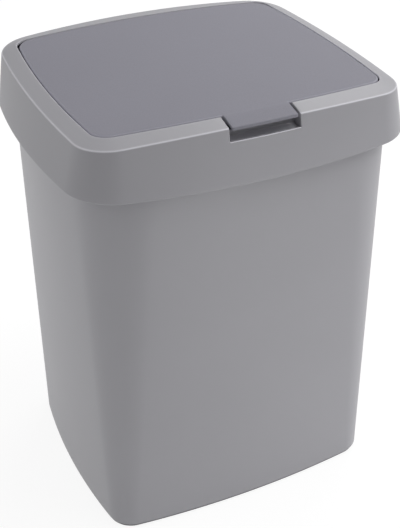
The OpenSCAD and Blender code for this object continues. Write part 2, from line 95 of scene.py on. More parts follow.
def quarter(a, b, bow1, bow2, r, d, xs, counts):
    """A quarter outline from the middle of the front to the middle of the side, moved in by d.
    A bow s over a half width a is an arc of radius (a a + s s) / 2s. The corner's centre is where
    circles of each arc's radius less r cross. xs lists the first columns, by their distance from
    the middle, and the front arc is shared out evenly after them."""
    r1, r2 = (a * a + bow1 * bow1) / (2 * bow1), (b * b + bow2 * bow2) / (2 * bow2)
    c1, c2 = np.array([0.0, r1 - b]), np.array([a - r2, 0.0])
    v = c2 - c1
    gap = np.hypot(*v)
    k = ((r1 - r) ** 2 - (r2 - r) ** 2 + gap * gap) / (2 * gap)
    h = math.sqrt((r1 - r) ** 2 - k * k)
    u = v / gap
    turn = np.array([-u[1], u[0]])
    corner = c1 + k * u + h * turn
    if not (corner[0] > 0 > corner[1]):
        corner = c1 + k * u - h * turn
    t1 = math.atan2(corner[1] - c1[1], corner[0] - c1[0])
    t2 = math.atan2(corner[1] - c2[1], corner[0] - c2[0])
    first = -math.pi / 2 + np.arcsin(np.asarray(xs) / (r1 - d))
    start = c1 + (r1 - d) * np.stack([np.cos(first), np.sin(first)], 1)
    nf, nc, ns = counts
    return np.concatenate([
        start[:-1],
        arc(c1, r1 - d, first[-1], t1, nf),
        arc(corner, r - d, t1, t2, nc),
        arc(c2, r2 - d, t2, 0.0, ns),
        c2[None] + [[r2 - d, 0.0]],
    ])


PLAIN_XS = (0.0,)
COUNTS = (18, 16, 12)  # points on the front arc, the corner and the side arc


def outline(o, d=0.0, xs=PLAIN_XS, counts=COUNTS):
    """The whole outline, from the middle of the front round by the right: the front quarter, the back
    quarter mirrored in Y, and both again mirrored in X."""
    mid, half = (o[1] + o[2]) / 2, (o[2] - o[1]) / 2
    f = quarter(o[0], half, o[3], o[5], o[6], d, xs, counts)
    k = quarter(o[0], half, o[4], o[5], o[7], d, xs, counts) * (1, -1)
    right = np.concatenate([f, k[-2::-1]])
    left = right[-2:0:-1] * (-1, 1)
    return np.concatenate([right, left]) + (0, mid)


def at(points, z):
    """Lifts an outline to a height, one number or one for each point."""
    return np.column_stack([points, np.broadcast_to(z, len(points))])


print("outline points:", len(outline(TOP)), "lid", np.ptp(outline(FOOT), axis=0).round(1), "mm")

# %% [markdown]
# ## From rings to a mesh
# Every moulding here is a stack of rings with as many points each, so one helper can skin them
# all. Blender's Bridge Edge Loops does the same by hand. Doing it with index arrays keeps the
# quads in straight rows, which gives clean reflections on satin plastic. Each point also carries a
# number, its edge share, which is painted light: above nothing a painted highlight where a moulded
# edge or a wall in a gap would catch light, below it painted shade, as on the foot ring.

# %% Skinning helpers


def grid_faces(rows, cols, closed):
    """Quads between neighbouring rows and columns; the last column joins the first when closed."""
    i = np.arange(rows - 1)[:, None]
    j = np.arange(cols if closed else cols - 1)[None]
    e = (j + 1) % cols
    return np.stack([i * cols + j, i * cols + e, (i + 1) * cols + e, (i + 1) * cols + j], -1).reshape(-1, 4)


def sheet_between(ring, lines, flip, lift=None):
    """Fills a ring with strips: its front and back halves are paired point by point from left to right,
    and each pair is joined by a straight line of points. lift raises the points by a function."""
    n = len(ring)
    q = n // 4
    j = np.arange(2 * q + 1)
    front, back = ring[(3 * q + j) % n], ring[3 * q - j]
    t = np.linspace(0, 1, lines)[:, None, None]
    pts = front[None] * (1 - t) + back[None] * t
    if lift is not None:
        pts = lift(pts)
    faces = grid_faces(lines, 2 * q + 1, False)
    return pts.reshape(-1, 3), faces[:, ::-1] if flip else faces


MERGE, SLIVER = 1e-6, 1e-7  # metres


def build(name, parts, smooth=35.0):
    """One mesh from parts, merged where they meet, with shading that stays smooth below an angle in
    degrees. A part is its points in millimetres; its faces, as one array of quads or a list of such
    arrays and single faces; and, where it carries painted light, an edge share for each point:
    painted highlight above nothing, painted shade below it."""
    verts, faces, shares, base = [], [], [], 0
    for pts, quads, *share in parts:
        pts = np.asarray(pts, float).reshape(-1, 3) * MM
        verts.append(pts)
        shares.append(np.broadcast_to(share[0] if share else 0.0, len(pts)))
        for block in quads if isinstance(quads, list) else [quads]:
            faces += (base + np.atleast_2d(block)).tolist()
        base += len(pts)
    mesh = bpy.data.meshes.new(name)
    mesh.from_pydata(np.concatenate(verts).tolist(), [], faces)
    # the edge attribute holds painted light: a painted highlight above nothing, painted shade below it
    edge = mesh.attributes.new("edge", "FLOAT", "POINT")
    edge.data.foreach_set("value", np.concatenate(shares).astype(np.float32))
    bm = bmesh.new()
    bm.from_mesh(mesh)
    bmesh.ops.remove_doubles(bm, verts=bm.verts, dist=MERGE)
    bmesh.ops.dissolve_degenerate(bm, edges=bm.edges, dist=SLIVER)
    bmesh.ops.recalc_face_normals(bm, faces=bm.faces)
    bm.to_mesh(mesh)
    bm.free()
    return shade(name, mesh, smooth)


def shade(name, mesh, smooth):
    """Makes an object of a mesh, smooth wherever its faces meet below an angle in degrees."""
    mesh.polygons.foreach_set("use_smooth", np.ones(len(mesh.polygons), bool))
    mesh.set_sharp_from_angle(angle=math.radians(smooth))
    obj = bpy.data.objects.new(name, mesh)
    bpy.context.collection.objects.link(obj)
    print(name, len(mesh.vertices), "points", len(mesh.polygons), "faces")
    return obj


def rings_part(rings, closed=True, share=0.0):
    """Rings of equal length as one skin, with one edge share of painted light for all, for each ring
    or for each point."""
    rings, share = np.asarray(rings), np.asarray(share, float)
    share = np.broadcast_to(share[:, None] if share.ndim == 1 else share, rings.shape[:2])
    return rings.reshape(-1, 3), grid_faces(rings.shape[0], rings.shape[1], closed), share.ravel()


def bend(n):
    """Sine and one less cosine of n even angles from 0 to a right angle: the two legs of a fillet."""
    t = np.linspace(0, math.pi / 2, n)
    return list(zip(np.sin(t), 1 - np.cos(t)))


def ramp(value, start, length):
    """0 up to start, 1 from start plus length on, and a straight line between."""
    return np.clip((value - start) / length, 0, 1)


def glint(n):
    """Painted highlight shares over the n rings of a rounding: half a sine wave, nothing at both ends."""
    return np.sin(np.linspace(0, math.pi, n))


# FADE_IN holds painted highlight shares
FADE_IN = np.array([0.0, 0.4, 0.7, 0.9, 1.0, 1.0])  # edge shares that rise over six rings

# %% [markdown]
# ## The bucket
# The real bucket is one injection moulding: a tapered wall a little over two millimetres thick, a
# foot ring set in from the wall, a rounded lower edge, and a neck and rim that the lid hides. A
# lattice or a scaled cube would do for its outside, but the lid lifts off, so the inside counts too.
# We stack rings: under the floor, round the foot, up the wall, over the rim and down again.

# %% Bucket helpers
FLOOR_T, UNDER_Z, FOOT_H = 3.0, 1.32, 2.2
FOOT_R, BELLY_R, RIM_R, COVE_R = 0.4, 1.0, 1.2, 6.0
IN_Z = FLOOR_T + UNDER_Z
NECK_FROM, NECK_RISE = SEAM_Z + 1, 4
WALL_FROM, WALL_FROM_IN, WALL_ROWS = 12, 14, 20


def wall_mix(z, d):
    """A ring of the bucket's straight wall: floor and seam outlines mixed by the share of the height."""
    t = z / NECK_FROM
    return at(outline(FLOOR, d) * (1 - t) + outline(SEAM, d) * t, z)


def neck_mix(t, d):
    """A ring of the step into the neck: seam and neck outlines mixed by a smooth share, 3 t t - 2 t t t."""
    s = 3 * t * t - 2 * t ** 3
    return at(outline(SEAM, d) * (1 - s) + outline(NECK, d) * s, NECK_FROM + NECK_RISE * t)


# %% Bucket
under = at(outline(FLOOR, FOOT_IN), UNDER_Z)
rings = [under]
rings += [at(outline(FLOOR, FOOT_IN - FOOT_R * c), FOOT_R * (1 - s)) for s, c in bend(4)]
rings += [at(outline(FLOOR, FOOT_OUT + FOOT_R * (1 - s)), FOOT_R * c) for s, c in bend(4)]
rings += [at(outline(FLOOR, d), FOOT_H) for d in (FOOT_OUT, BELLY_R)]
n_foot = len(rings)
rings += [at(outline(FLOOR, BELLY_R * (1 - s)), FOOT_H + BELLY_R * c) for s, c in bend(6)]
n_belly = len(rings)
rings += [wall_mix(z, 0.0) for z in np.linspace(WALL_FROM, NECK_FROM, WALL_ROWS)]
rings += [neck_mix(t, 0.0) for t in np.linspace(0.2, 1, 5)]
rings += [at(outline(NECK, 0.0), RIM_Z - RIM_R)]
rings += [at(outline(NECK, RIM_R * c), RIM_Z - RIM_R * (1 - s)) for s, c in bend(6)]
rings += [at(outline(NECK, BUCKET_WALL - RIM_R * (1 - s)), RIM_Z - RIM_R * c) for s, c in bend(6)]
rings += [neck_mix(t, BUCKET_WALL) for t in np.linspace(1, 0.2, 5)]
rings += [wall_mix(z, BUCKET_WALL) for z in np.linspace(NECK_FROM, WALL_FROM_IN, WALL_ROWS)]
rings += [at(outline(FLOOR, BUCKET_WALL + COVE_R * c), IN_Z + COVE_R * (1 - s)) for s, c in bend(8)]
# painted shade on the foot ring, fading up the rounded lower edge: the contact shadow's dark line
foot_painted_shade = np.zeros(len(rings))
foot_painted_shade[:n_foot] = -1.0
foot_painted_shade[n_foot:n_belly] = -np.linspace(1, 0, n_belly - n_foot)
bucket_shell = build("bucket_shell", [
    rings_part(rings, True, foot_painted_shade),
    sheet_between(under, 3, True), sheet_between(rings[-1], 3, False)])
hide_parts("bucket")
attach(bucket_shell, "bucket_body")

# %% [markdown]
# ## The collar
# The collar is the lid's outer moulding: a tall flared skirt, a rim band that rises a little to the
# opening, and the finger notch in front. It could be a boolean of a ring and a box, but a boolean
# leaves hard, unlit cuts. Here the ring's columns are set on the notch's edges, the skirt below the
# notch stays a whole ring, the part above is left open there, and the free ends are rolled over by
# a small radius, as a mould leaves them.

# %% Collar helpers
ROLL, ROLL_STEPS, NOTCH_STEPS = 0.45, 4, 12
NOTCH_XS = list(np.linspace(0, NOTCH_HALF, NOTCH_STEPS)) + [
    NOTCH_HALF + ROLL * c for c in np.linspace(0, 1, ROLL_STEPS + 1)[1:]]
COLLAR_COUNTS = (14, 16, 12)
LOW_Z = LIP_Z - LIP_R
TOP_R, OPEN_R, HEM_IN_R, HEM_OUT_R = 1.0, 0.6, 0.6, 1.0
BAND_OUT_Z, BAND_IN_Z = BIN_H + 0.05, FLAP_TOP - 0.02


def lid_line(o, d=0.0):
    """An outline of the lid with its columns on the notch's edges."""
    return outline(o, d, NOTCH_XS, COLLAR_COUNTS)


def roll_amount():
    """For each column how far the surface sinks where it rolls over the notch's edge: a quarter circle."""
    x = np.abs(lid_line(TOP)[:, 0])
    front = np.zeros(len(x), bool)
    k = len(NOTCH_XS)
    front[:k] = True
    front[-k + 1:] = True
    s = ramp(-x, -(NOTCH_HALF + ROLL), ROLL)
    return np.where(front, ROLL * (1 - np.sqrt(1 - s * s)), 0.0)


SINK = roll_amount()


def inward(o, d):
    """Points of an outline moved in by d, one distance for each column, from two outlines mixed."""
    near, far = lid_line(o, 0.0), lid_line(o, 1.0)
    return near + (far - near) * np.broadcast_to(d, len(near))[:, None]


def wall(z=None, drop=None, d=0.0):
    """A ring of the skirt's wall, straight from the lower edge to the crowned top edge, at a height z
    or at a drop below the top edge."""
    lo, hi = inward(FOOT, d), inward(TOP, d)
    height = COLLAR_H - fall(hi[:, 0])
    t = ((z - SEAM_Z) / height if drop is None else 1 - drop / height)[:, None]
    p = lo * (1 - t) + hi * t
    return at(p, SEAM_Z + height * t[:, 0])


def band(t, sink):
    """A ring of the rim band: from the top edge to the opening, each moved by its rounding, mixed by
    t."""
    a, b = inward(TOP, TOP_R), inward(OPENING, -OPEN_R)
    p = a * (1 - t) + b * t
    z = BAND_OUT_Z * (1 - t) + BAND_IN_Z * t
    return at(p, z - fall(p[:, 0]) - sink)


def opening(d, down):
    """A ring on the opening's edge, moved in by d and down from the flap's level."""
    p = inward(OPENING, d)
    return at(p, FLAP_TOP - down - fall(p[:, 0]))


# %% Skirt and rim band
skirt = [wall(z=z, d=COLLAR_WALL) for z in np.linspace(LOW_Z, SEAM_Z + HEM_IN_R, 8)]
skirt += [wall(z=SEAM_Z + HEM_IN_R * (1 - s), d=COLLAR_WALL - HEM_IN_R * c) for s, c in bend(4)]
skirt += [wall(z=SEAM_Z + HEM_OUT_R * c, d=HEM_OUT_R * (1 - s)) for s, c in bend(6)]
skirt += [wall(z=z) for z in np.linspace(SEAM_Z + HEM_OUT_R, LOW_Z, 12)[1:]]

STRAIGHT_END, ROLL_REACH = 1.5, 0.24  # below the top edge, and the part of the rise to full rolling
OPEN_DROP, LEDGE, LEDGE_DROP = 1.4, 3.0, 3.2
rise = BIN_H - fall(lid_line(TOP)[:, 0]) - STRAIGHT_END - LOW_Z
upper = [wall(z=LOW_Z)]
upper += [wall(z=LOW_Z + ROLL_REACH * rise * e, d=SINK * e) for e in np.linspace(0, 1, 4)[1:]]
upper += [wall(z=LOW_Z + part * rise, d=SINK) for part in (0.6, 1.0)]
upper += [wall(drop=TOP_R * (1 - s), d=SINK + TOP_R * c) for s, c in bend(7)]
upper += [band(t, SINK) for t in np.linspace(0.1, 1, 8)]
upper += [opening(-OPEN_R * (1 - s) - SINK * s, OPEN_R * c + SINK * (1 - s)) for s, c in bend(5)[1:]]
upper += [opening(-SINK, OPEN_DROP), opening(-SINK - 1.0, BAND_T)]
upper += [wall(drop=BAND_T, d=COLLAR_WALL + w) for w in (LEDGE, 0.0)]
upper += [wall(drop=LEDGE_DROP, d=COLLAR_WALL), wall(z=LOW_Z, d=COLLAR_WALL)]
upper = np.asarray(upper)

# rings of the upper part with painted light: painted highlights up the notch's rolled ends and
# round the outer edge, and painted light down the opening's edge onto its wall in the gap round
# the flap, weaker at the back
NOTCH_ENDS, OUTER_EDGE, INNER_EDGE = slice(3, 13), slice(6, 13), slice(20, 26)
ENDS_HIGHLIGHT, OUTER_HIGHLIGHT, REAR_LESS, REAR_Y = 0.6, 0.95, 0.65, 60
rear = ramp(lid_line(OPENING)[:, 1], REAR_Y, 10)
upper_painted_light = np.zeros(upper.shape[:2])
upper_painted_light[NOTCH_ENDS] = ENDS_HIGHLIGHT * np.sin(math.pi * SINK / ROLL)
upper_painted_light[OUTER_EDGE] = np.maximum(upper_painted_light[OUTER_EDGE], OUTER_HIGHLIGHT * glint(7)[:, None] ** 2)
upper_painted_light[INNER_EDGE] = np.outer(FADE_IN, 1 - REAR_LESS * rear)

n_ring = upper.shape[1]
first = NOTCH_STEPS - 1
open_cols = np.arange(first, n_ring - first + 1)
upper_open, open_painted_light = upper[:, open_cols], upper_painted_light[:, open_cols]
upper_ends = [(upper_open[:, k], [list(range(len(upper)))], open_painted_light[:, k]) for k in (0, -1)]
print("columns:", n_ring, "of them across the notch:", n_ring - len(open_cols))

# %% [markdown]
# ## The finger pocket
# Behind the notch a scooped pocket lets a fingertip reach under the tab. A scaled sphere would leave
# gaps at its sides, so straight rows are carried back from the skirt's own lip instead: over a small
# rounding, down a scooped floor, up the back wall and down behind it to the skirt's inside.

# %% Finger pocket
SCOOP_R, SCOOP_Y, SCOOP_Z = 9.5, TOP[1] + 2.6, LIP_Z + 8.0
POCKET_BACK, POCKET_TOP, POCKET_LOW = TOP[1] + 7.0, BIN_H - 4.9, LOW_Z - 2.4
POCKET_WALL, POCKET_R, SCOOP_ROWS, SCOOP_EASE, SCOOP_END_LIGHT = 1.5, 0.4, 14, 2.5, 0.3
notch_cols = np.concatenate([np.arange(n_ring - first, n_ring), np.arange(0, first + 1)])
lip_edge = wall(z=LOW_Z)[notch_cols]
lip_in = wall(z=LOW_Z, d=COLLAR_WALL)[notch_cols]


def pocket_row(y, z):
    """A straight row of the finger pocket across the notch."""
    return np.column_stack([lip_edge[:, 0], np.full(len(lip_edge), y), np.full(len(lip_edge), z)])


def scoop_z(y):
    """Height of the scooped floor: the lower half of a circle round the scoop's centre."""
    return SCOOP_Z - math.sqrt(SCOOP_R ** 2 - (y - SCOOP_Y) ** 2)


pocket = [lip_edge]
pocket += [lip_edge + (0, LIP_R * c, LIP_R * s) for s, c in bend(6)[1:]]
n_lip = len(pocket)
front_y = lip_edge[len(lip_edge) // 2, 1] + LIP_R
for y in np.linspace(front_y + 0.6, POCKET_BACK - 0.3, SCOOP_ROWS):
    share = min(1.0, (y - front_y) / SCOOP_EASE)
    row = pocket_row(y, scoop_z(y))
    row[:, 1] += (lip_edge[:, 1] - lip_edge[:, 1].min()) * (1 - share)
    row[:, 2] = LIP_Z * (1 - share) + row[:, 2] * share
    pocket.append(row)
n_scoop = len(pocket)
back_y = POCKET_BACK + POCKET_WALL
pocket += [pocket_row(POCKET_BACK, z) for z in (scoop_z(POCKET_BACK) + 0.3, POCKET_TOP - POCKET_R)]
pocket += [pocket_row(POCKET_BACK + POCKET_R * c, POCKET_TOP - POCKET_R * (1 - s)) for s, c in bend(3)[1:]]
pocket += [pocket_row(back_y - POCKET_R * (1 - s), POCKET_TOP - POCKET_R * c) for s, c in bend(3)]
pocket += [pocket_row(back_y, POCKET_LOW), pocket_row(TOP[1] + 1.5, POCKET_LOW), lip_in]
# painted highlight on the lip's rounding, then painted light on the scooped floor: full behind the lip,
# fading under the tab
pocket_painted_light = np.zeros(len(pocket))
pocket_painted_light[:n_lip] = FADE_IN
pocket_painted_light[n_lip:n_scoop] = np.linspace(1, SCOOP_END_LIGHT, SCOOP_ROWS)


def slab(x0, x1, y0, y1, z0, z1, r, n=4):
    """A flat bar with rounded long edges: a rounded rectangle in Y and Z, carried along X, whose end
    sections draw in on quarter circles of radius r."""
    t = np.linspace(0, math.pi / 2, n)
    cy = np.concatenate([np.cos(t), -np.sin(t), -np.cos(t), np.sin(t)])
    cz = np.concatenate([np.sin(t), np.cos(t), -np.sin(t), -np.cos(t)])
    my = np.repeat([y1 - r, y0 + r, y0 + r, y1 - r], n)
    mz = np.repeat([z1 - r, z1 - r, z0 + r, z0 + r], n)
    ends = [(x0 + r * (1 - math.sin(a)), math.cos(a)) for a in t[::-1]]
    ends += [(x1 - r * (1 - math.sin(a)), math.cos(a)) for a in t]
    rows = [np.column_stack([np.full(4 * n, x), my + r * s * cy, mz + r * s * cz]) for x, s in ends]
    pts, faces, _ = rings_part(rows)
    last = (len(rows) - 1) * 4 * n
    return pts, [faces, list(range(4 * n))[::-1], list(range(last, last + 4 * n))]


# %% Collar
collar_shell = build("collar_shell", [
    rings_part(skirt), rings_part(upper_open, False, open_painted_light),
    rings_part(pocket, False, pocket_painted_light)] + upper_ends)
CHEEK_X, CHEEK_Y, CHEEK_TOP, CHEEK_R = NOTCH_HALF + 0.03, TOP[1] + 1.2, BIN_H - 1.4, 0.15
pocket_cheeks = build("pocket_cheeks", [
    slab(x, x + POCKET_WALL, CHEEK_Y, back_y, POCKET_LOW, CHEEK_TOP, CHEEK_R)
    for x in (-CHEEK_X - POCKET_WALL, CHEEK_X)])
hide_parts("collar")
for piece in (collar_shell, pocket_cheeks):
    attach(piece, "lid_body")

# %% [markdown]
# ## The flap
# The flap is crowned across its width and flat along its depth, with a softly broken edge all
# round and a rim turned down under it. A subdivided plate would look the same from above, but its
# edge would bulge at the corners. Rings moved in from one outline keep the edge even, and two sheets
# that follow the crown close it above and below.

# %% Flap
GAP_CUT, FRONT_CUT = 0.25, 0.4  # how much narrower the side gaps are, and the front's part of that
SIDE_X, FRONT_Y, FLAP_RIM_R, SHEET_LINES = 70, -60, 0.3, 40
# painted light on the flap's side wall, seen in the gaps at its sides and back, and a painted highlight on
# its front edge
FLAP_SIDE_LIGHT, FLAP_FRONT_HIGHLIGHT = 0.6, 0.45


def flap_ring(d, down):
    """A ring of the flap, moved in by d and down from the crowned top. Ahead of the hinge the gap
    round it narrows, by a quarter of a millimetre at the sides and a tenth in front."""
    p, near = outline(FLAP, FLAP_GAP + d), outline(FLAP, FLAP_GAP + d - GAP_CUT)
    beside = ramp(np.abs(p[:, :1]), SIDE_X, 15)
    unhinged = ramp(-p[:, 1:], 8 - HINGE_Y, 12)
    p = p + (near - p) * unhinged * (FRONT_CUT + (1 - FRONT_CUT) * beside)
    return at(p, FLAP_TOP - down - fall(p[:, 0]))


def crown_sheet(level):
    """Puts points back on the crowned surface: a level less the fall at their own x."""
    def lift(pts):
        pts = pts.copy()
        pts[..., 2] = level - fall(pts[..., 0])
        return pts
    return lift


rings = [flap_ring(FLAP_T, FLAP_T), flap_ring(FLAP_T, RIM_DEPTH - FLAP_RIM_R)]
rings += [flap_ring(FLAP_T - FLAP_RIM_R, RIM_DEPTH), flap_ring(FLAP_RIM_R, RIM_DEPTH)]
rings += [flap_ring(0.0, RIM_DEPTH - FLAP_RIM_R)]
rings += [flap_ring(EDGE_R * c, EDGE_R * (1 - s)) for s, c in bend(9)]
ahead = ramp(-rings[0][:, 1], -FRONT_Y, 10)
# painted light on the sides and back, painted highlight on the front rounding
side_painted_light = np.concatenate([np.full(len(rings) - 5, FLAP_SIDE_LIGHT), (0.55, 0.5, 0.35, 0.2, 0.0)])
front_highlight = np.concatenate([np.zeros(len(rings) - 9), FLAP_FRONT_HIGHLIGHT * glint(9)])
flap_painted_light = np.outer(side_painted_light, 1 - ahead) + np.outer(front_highlight, ahead)
flap_panel = build("flap_panel", [
    rings_part(rings, True, flap_painted_light),
    sheet_between(rings[0], SHEET_LINES, True, crown_sheet(FLAP_TOP - FLAP_T)),
    sheet_between(rings[-1], SHEET_LINES, False, crown_sheet(FLAP_TOP))])

# %% Tab
TAB_HALF, TAB_T, TAB_FRONT = NOTCH_HALF - 1.6, 1.9, TOP[1] - 0.5
NOSE_R, CHIN_R, CHIN_UP, ROUND = 0.7, 0.35, 0.45, 0.5
SUNK, FOLD, BAND_W = 0.012, 0.6, 10.0


def tab_section(x, e):
    """Section of the tab at x, drawn in by e: flat at the root, sloping with the rim band to a front
    edge that follows the skirt's bow, with quarter circles at its edges."""
    z = FLAP_TOP - fall(x) - SUNK
    slope = BAND_RISE / BAND_W
    y0, y1 = OPENING[1] + 3.2, OPENING[1] - 0.2
    y2 = TAB_FRONT + TOP[3] * (x / HALF_W) ** 2 + e
    z2 = z - slope * (y1 - y2)
    top = [(y0, z - e), (y0 - 1.5, z - e), (y1 + FOLD, z - e), (y1 - FOLD, z - e - slope * FOLD)]
    top += [(y1 + (y2 + NOSE_R - y1) * t, z - e - slope * (y1 - y2 - NOSE_R) * t) for t in (0.3, 0.6, 0.85)]
    nose = [(y2 + NOSE_R * (1 - s), z2 - e + slope * NOSE_R - NOSE_R * c) for s, c in bend(6)]
    chin = [(y2 + CHIN_R * c, z2 - TAB_T + CHIN_UP + e - CHIN_R * s) for s, c in bend(4)]
    low = [(y1 - FOLD, z - TAB_T + e - slope * FOLD), (y1 + FOLD, z - TAB_T + e), (y0, z - TAB_T + e)]
    yz = np.array(top + nose + chin + low)
    return np.column_stack([np.full(len(yz), x), yz])


turns = np.linspace(0, math.pi / 2, 5)
stations = [(-TAB_HALF + ROUND * (1 - math.cos(a)), ROUND * (1 - math.sin(a))) for a in turns]
stations += [(x, 0.0) for x in np.linspace(-TAB_HALF + ROUND, TAB_HALF - ROUND, 19)[1:-1]]
stations += [(-x, e) for x, e in stations[:5]][::-1]
tab_rows = np.asarray([tab_section(x, e) for x, e in stations])
around = list(range(tab_rows.shape[1]))
flap_tab = build("flap_tab", [
    rings_part(tab_rows), (tab_rows[0], [around]), (tab_rows[-1], [around[::-1]])])
print("tab reaches y =", round(float(tab_rows[..., 1].min()), 2), "mm")

# %% [markdown]
# ## Under the flap
# Seen open, the flap shows what a moulded panel needs: two long ribs from the hinge to the front, a
# cross rib, two knuckles on the rod, and two bosses for the catch's hook. Boxes with a bevel would
# serve; the rounded slab above is used again, and the round pieces are profiles turned about a line.

# %% Ribs, knuckles and bosses


def ring_about(centre, axis, profile, n=40):
    """A closed profile of (distance along the axis, radius) pairs turned about an axis through a
    centre: the radius times cosine and sine in the two other directions."""
    t = np.linspace(0, 2 * math.pi, n, endpoint=False)
    along, r = np.asarray(profile, float).T
    c, s = np.outer(r, np.cos(t)), np.outer(r, np.sin(t))
    a = np.broadcast_to(along[:, None], c.shape)
    order = {"x": (a, c, s), "z": (c, s, a)}[axis]
    pts = np.stack(order, -1) + np.asarray(centre)
    j, last = np.arange(n), (len(profile) - 1) * n
    join = np.stack([last + j, last + (j + 1) % n, (j + 1) % n, j], -1)
    return pts.reshape(-1, 3), np.concatenate([grid_faces(len(profile), n, True), join])


EAR_R, KNUCKLE_X, KNUCKLE_L, CHAMFER = ROD_R + 1.7, 39.5, 7.0, 0.3
UNDER_FLAP = FLAP_TOP - FLAP_T
BASE_Z, PIN_Y = UNDER_FLAP - 4.0, OPENING[1] + FLAP_GAP + 13.3
WEB_TOP = UNDER_FLAP + 0.4 - fall(KNUCKLE_X + KNUCKLE_L)
RIB_X, RIB_H, RIB_T, RIB_R, CROSS_Y = 43, 3.4, 1.6, 0.3, PIN_Y + 9
BOSS_X, WEB_HALF, WEB_R = 8, 2.4, 0.25
knuckle = [(0, ROD_R + 0.05), (0, EAR_R - CHAMFER), (CHAMFER, EAR_R), (KNUCKLE_L - CHAMFER, EAR_R),
           (KNUCKLE_L, EAR_R - CHAMFER), (KNUCKLE_L, ROD_R + 0.05)]
boss = [(0, 1.35), (0, 2.7), (0.3, 3.0), (3.6, 3.0), (4.2, 3.5), (4.2, 1.35)]
works = []
for s in (-1, 1):
    x0, rib = KNUCKLE_X if s > 0 else -KNUCKLE_X - KNUCKLE_L, s * RIB_X
    works.append(ring_about((x0, HINGE_Y, HINGE_Z), "x", knuckle))
    works.append(slab(x0, x0 + KNUCKLE_L, HINGE_Y - WEB_HALF, HINGE_Y + WEB_HALF,
                      HINGE_Z + ROD_R + 0.3, WEB_TOP, WEB_R))
    works.append(slab(rib - RIB_T / 2, rib + RIB_T / 2, OPENING[1] + 3, HINGE_Y - EAR_R - 0.1,
                      WEB_TOP - RIB_H, WEB_TOP, RIB_R))
    works.append(ring_about((s * BOSS_X, PIN_Y - 1.5, BASE_Z), "z", boss))
works.append(slab(-RIB_X - 0.5, RIB_X + 0.5, CROSS_Y, CROSS_Y + RIB_T,
                  UNDER_FLAP - RIB_H, UNDER_FLAP - 0.75, RIB_R))
works.append(slab(-20, 20, PIN_Y + 9.2, PIN_Y + 10.4, UNDER_FLAP - 1.2, UNDER_FLAP + 0.1, 0.2))
flap_works = build("flap_works", works)
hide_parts("flap")
for piece in (flap_panel, flap_tab, flap_works):
    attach(piece, "flap_body")

# %% [markdown]
# ## The seat ring
# The seat ring is already right in the frame. It is only made of loose flat triangles, so its round
# corners would show facets. Rebuilding it would say nothing new, so a copy is merged into one skin,
# and its normals are smoothed wherever the surface turns gently.

# %% Seat ring


def smooth_copy(node, name, angle):
    """A merged copy of a CAD node, shaded smooth below an angle, which stands for the node."""
    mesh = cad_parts[node].data.copy()
    mesh.name = name
    bm = bmesh.new()
    bm.from_mesh(mesh)
    bmesh.ops.remove_doubles(bm, verts=bm.verts, dist=2 * MERGE)
    bmesh.ops.dissolve_limit(bm, angle_limit=math.radians(0.2), verts=bm.verts, edges=bm.edges)
    bm.to_mesh(mesh)
    bm.free()
    if mesh.has_custom_normals:
        mesh.attributes.remove(mesh.attributes["custom_normal"])
    obj = shade(name, mesh, angle)
    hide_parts(node)
    return obj


seat_skin = smooth_copy("seat_ring", "seat_ring_skin", 32)
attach(seat_skin, "lid_body")

# %% [markdown]
# ## The springs
# Wire springs are swept tubes: a circle carried along a coil. Blender's Screw modifier can wind one,
# but the legs would be separate. One path that runs down a leg, round the coil and out along the
# other leg gives a single wire, as the real one is.

# %% Springs


def wire(name, path, r, sides=12, hold=(1.0, 0.0, 0.0)):
    """A round tube along a path: at each point a circle of radius r across the direction of travel,
    and half as wide a circle half a radius beyond each end. hold is a direction that the path never
    takes."""
    path = np.asarray(path, float)
    t = np.gradient(path, axis=0)
    t /= np.linalg.norm(t, axis=1, keepdims=True)
    b = np.cross(t, np.asarray(hold))
    b /= np.linalg.norm(b, axis=1, keepdims=True)
    u = np.cross(b, t)
    a = np.linspace(0, 2 * math.pi, sides, endpoint=False)
    circle = np.cos(a)[None, :, None] * u[:, None] + np.sin(a)[None, :, None] * b[:, None]
    rows = path[:, None] + r * circle
    first_end = path[0] - t[0] * r * 0.5 + 0.5 * r * circle[0]
    last_end = path[-1] + t[-1] * r * 0.5 + 0.5 * r * circle[-1]
    rows = np.concatenate([first_end[None], rows, last_end[None]])
    pts, faces, _ = rings_part(rows)
    last = (len(rows) - 1) * sides
    return build(name, [(pts, [faces, list(range(sides)), list(range(last, last + sides))])], smooth=60)


# %% Lift springs
LIFT_WIRE, LIFT_L, LIFT_MID, LIFT_AIR, PER_TURN = 0.9, 14.0, 17.0, 0.42, 28
LIFT_R = ROD_R + 0.6 + LIFT_WIRE / 2
LEG_LOW, LEG_OUT, TILT = RIM_Z + 2.9, 17, math.radians(20)
# as many whole turns as fit with air between them, and the part turn from the lower leg to the upper
LIFT_TURNS = math.floor((LIFT_L - LIFT_WIRE) / (LIFT_WIRE + LIFT_AIR) - 0.8) + 290 / 360
LIFT_X = LIFT_MID + (LIFT_L - LIFT_WIRE) / 2
a = np.linspace(0, LIFT_TURNS * 2 * math.pi, int(LIFT_TURNS * PER_TURN))
coil = np.stack([LIFT_X - (LIFT_L - LIFT_WIRE) * a / a[-1],
                 HINGE_Y + LIFT_R * np.cos(math.pi - a), HINGE_Z + LIFT_R * np.sin(math.pi - a)], 1)
down = np.linspace(1, 0, 8)[:-1, None] * np.array([0, 0, LEG_LOW - HINGE_Z]) + coil[0]
out = np.linspace(0, LEG_OUT, 10)[1:, None] * np.array([0, -math.cos(TILT), math.sin(TILT)]) + coil[-1]
lift_path = np.concatenate([down, coil, out])
lift_springs = []
for side, node in ((1, "lift_spring_right"), (-1, "lift_spring_left")):
    spring = wire(node + "_wire", lift_path * (side, 1, 1), LIFT_WIRE / 2 * 0.99)
    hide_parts(node)
    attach(spring, "lid_body")
    lift_springs.append(spring)

